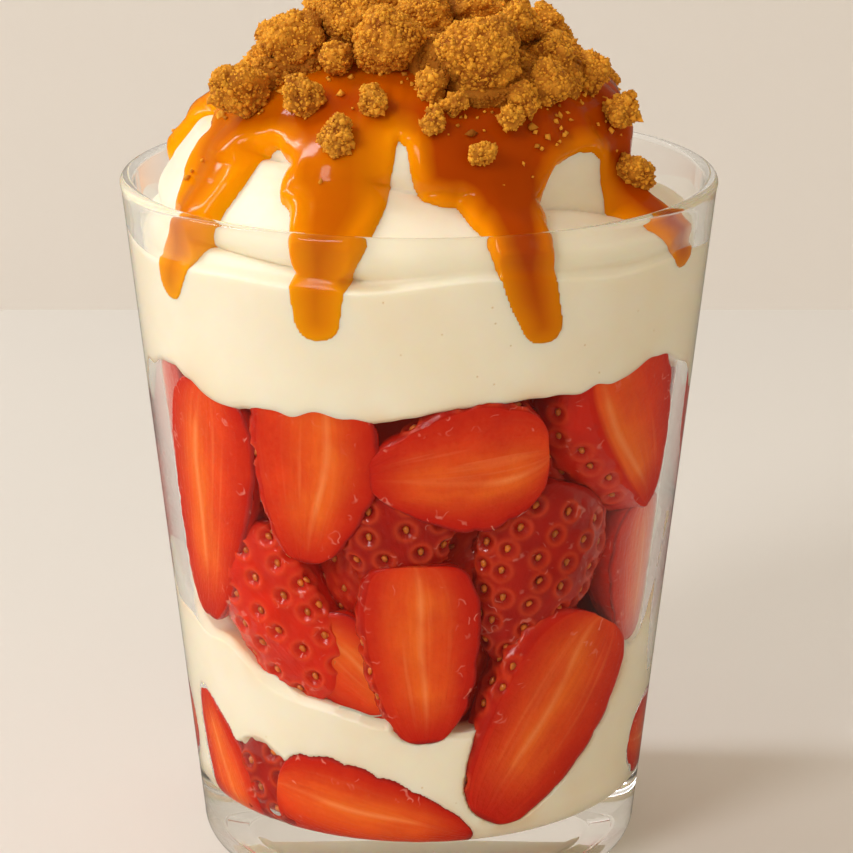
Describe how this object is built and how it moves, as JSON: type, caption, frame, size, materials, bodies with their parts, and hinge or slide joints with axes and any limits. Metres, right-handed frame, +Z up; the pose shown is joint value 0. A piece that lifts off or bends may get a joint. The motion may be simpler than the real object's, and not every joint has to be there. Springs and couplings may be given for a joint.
{
  "type": "layered strawberry dessert in a tumbler",
  "caption": "Clear tapered tumbler filled with layers of cut strawberries and cream, with a piped swirl of cream above the rim, dripping caramel and a heap of biscuit crumble.",
  "frame": {"origin": "middle of the tumbler's foot, on the plane it stands on", "axes": "+Z up along the tumbler's axis, -Y towards the front of the dessert as pictured, +X to the right"},
  "size_m": [0.0848, 0.085, 0.1322],
  "materials": {
    "glass": "clear polished",
    "cream": "soft satin",
    "strawberry": "moist",
    "packed_strawberry": "moist",
    "caramel": "glossy",
    "biscuit": "rough, crumbly"
  },
  "bodies": {
    "root": {"glass": "glass", "strawberry_half_upper_left": "strawberry", "strawberry_half_upper_middle": "strawberry", "strawberry_half_upper_right": "strawberry", "strawberry_half_big_right": "strawberry", "strawberry_half_middle": "strawberry", "strawberry_whole_left": "strawberry", "strawberry_slice_left": "strawberry", "strawberry_whole_right": "strawberry", "strawberry_half_bottom": "strawberry", "strawberry_half_low_left": "strawberry", "strawberry_whole_low_left": "strawberry", "strawberry_half_right_edge": "strawberry", "strawberry_whole_centre": "strawberry", "strawberry_half_left_edge": "strawberry", "strawberry_half_tucked": "strawberry", "strawberry_half_back_1": "strawberry", "strawberry_half_back_2": "strawberry", "strawberry_whole_back_3": "strawberry", "strawberry_half_back_4": "strawberry", "strawberry_half_back_5": "strawberry", "strawberry_whole_back_6": "strawberry", "strawberry_half_back_7": "strawberry", "strawberry_whole_back_8": "strawberry", "strawberry_half_back_9": "strawberry", "strawberry_half_back_10": "strawberry", "strawberry_whole_back_11": "strawberry", "strawberry_half_back_12": "strawberry", "strawberry_half_back_13": "strawberry", "strawberry_whole_back_14": "strawberry", "strawberry_half_back_15": "strawberry", "cream_top": "cream", "cream_lower": "cream", "strawberry_core": "packed_strawberry", "caramel": "caramel", "biscuit_heap": "biscuit", "biscuit_chunk_1": "biscuit", "biscuit_chunk_2": "biscuit", "biscuit_chunk_3": "biscuit", "biscuit_chunk_4": "biscuit", "biscuit_chunk_5": "biscuit", "biscuit_chunk_6": "biscuit", "biscuit_chunk_7": "biscuit", "biscuit_chunk_8": "biscuit", "biscuit_chunk_9": "biscuit", "biscuit_chunk_10": "biscuit", "biscuit_chunk_11": "biscuit"}
  },
  "joints": []
}
